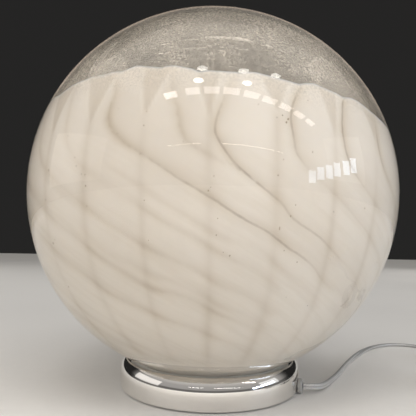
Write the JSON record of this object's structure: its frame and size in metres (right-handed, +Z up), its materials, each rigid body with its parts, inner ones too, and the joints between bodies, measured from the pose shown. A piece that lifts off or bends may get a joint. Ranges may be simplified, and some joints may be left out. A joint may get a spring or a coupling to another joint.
{
  "type": "table lamp",
  "caption": "Glass globe table lamp: a clear and white blown globe seated on a low chromed base, with a screw-base bulb inside and a cord with an inline switch and a plug.",
  "frame": {"origin": "on the surface the lamp stands on, at the middle of the round base", "axes": "+Z up through the globe's centre, +X to the side the cord leaves on, seen from -Y as in the picture"},
  "size_m": [0.4967, 0.3629, 0.3594],
  "materials": {
    "opal_glass": "glossy blown glass, clear outside over a white layer",
    "chrome": "mirror polished",
    "gasket": "matt",
    "felt": "pressed felt",
    "zinc_steel": "zinc plated",
    "iron": "rough cast, painted",
    "steel_screw": "zinc plated",
    "brass": "drawn",
    "holder_plastic": "moulded",
    "ceramic": "glazed ceramic",
    "bulb_metal": "drawn",
    "bulb_black": "glossy",
    "bulb_glass": "clear",
    "filament": "matt",
    "cord_grey": "soft, slightly translucent",
    "core_blue": "smooth",
    "core_brown": "smooth",
    "grommet": "smooth",
    "switch_plastic": "fine texture",
    "rocker_plastic": "smooth",
    "plug_plastic": "fine texture",
    "pin_sleeve": "smooth",
    "tie": "hook and loop strip"
  },
  "bodies": {
    "base": {"base_shell": "chrome", "seat_gasket": "gasket", "felt_pad": "felt", "bottom_plate": "zinc_steel", "ballast_ring": "iron", "shell_tabs": "zinc_steel", "shell_screws": "steel_screw", "ballast_screws": "steel_screw", "holder_bridge": "zinc_steel", "bridge_screws": "steel_screw", "threaded_nipple": "brass", "nipple_nuts": "brass", "nipple_washers": "steel_screw", "holder_cap": "holder_plastic", "holder_sleeve": "holder_plastic", "holder_insert": "ceramic", "holder_screw_shell": "brass", "holder_contact": "brass", "holder_terminals": "brass", "holder_terminal_screws": "steel_screw", "cord_grommet": "grommet", "cord_clamp": "holder_plastic", "clamp_screws": "steel_screw", "inner_cord": "cord_grey", "holder_core_blue": "core_blue", "holder_core_brown": "core_brown", "cord_lamp_run": "cord_grey", "cord_switch_run": "cord_grey", "cord_tail": "cord_grey", "cord_coil": "cord_grey", "coil_tie": "tie", "switch_lower_shell": "switch_plastic", "switch_upper_shell": "switch_plastic", "switch_rocker_pin": "steel_screw", "switch_contact_post": "brass", "switch_terminals": "brass", "switch_terminal_screws": "steel_screw", "switch_screws": "steel_screw", "switch_cord_ends": "cord_grey", "switch_neutral_core": "core_blue", "switch_line_core": "core_brown", "plug_body": "plug_plastic", "plug_pins": "brass", "plug_pin_sleeves": "pin_sleeve"},
    "globe": {"glass_globe": "opal_glass"},
    "bulb_thread": {"bulb_contact": "bulb_metal"},
    "bulb": {"bulb_insulator": "bulb_black", "bulb_cap": "bulb_metal", "bulb_glass": "bulb_glass", "bulb_stem": "bulb_glass", "bulb_filament": "filament", "bulb_lead_wires": "steel_screw"},
    "rocker": {"switch_rocker": "rocker_plastic", "switch_plunger": "holder_plastic"},
    "seesaw": {"switch_seesaw_contact": "brass"}
  },
  "joints": [
    {"name": "globe_lift", "type": "slide", "parent": "base", "child": "globe", "axis": [0, 0, 1], "range_m": [0, 0.17]},
    {"name": "bulb_rise", "type": "slide", "parent": "base", "child": "bulb_thread", "axis": [0, 0, 1], "range_m": [0, 0.01455]},
    {"name": "bulb_turn", "type": "hinge", "parent": "bulb_thread", "child": "bulb", "pos_m": [0, 0, 0.1], "axis": [0, 0, 1], "range_deg": [0, 1440]},
    {"name": "rocker_tip", "type": "hinge", "parent": "base", "child": "rocker", "pos_m": [0.29, 0.086, 0.0106], "axis": [-0.9962, 0.0872, 0], "range_deg": [0, 16]},
    {"name": "seesaw_tip", "type": "hinge", "parent": "base", "child": "seesaw", "pos_m": [0.29, 0.086, 0.0041], "axis": [0.9962, -0.0872, 0], "range_deg": [0, 14.1]}
  ],
  "couplings": [
    {"joint": "bulb_rise", "follows": "bulb_turn", "m_per_rad": 0.00057757},
    {"joint": "seesaw_tip", "follows": "rocker_tip", "ratio": 0.875}
  ]
}
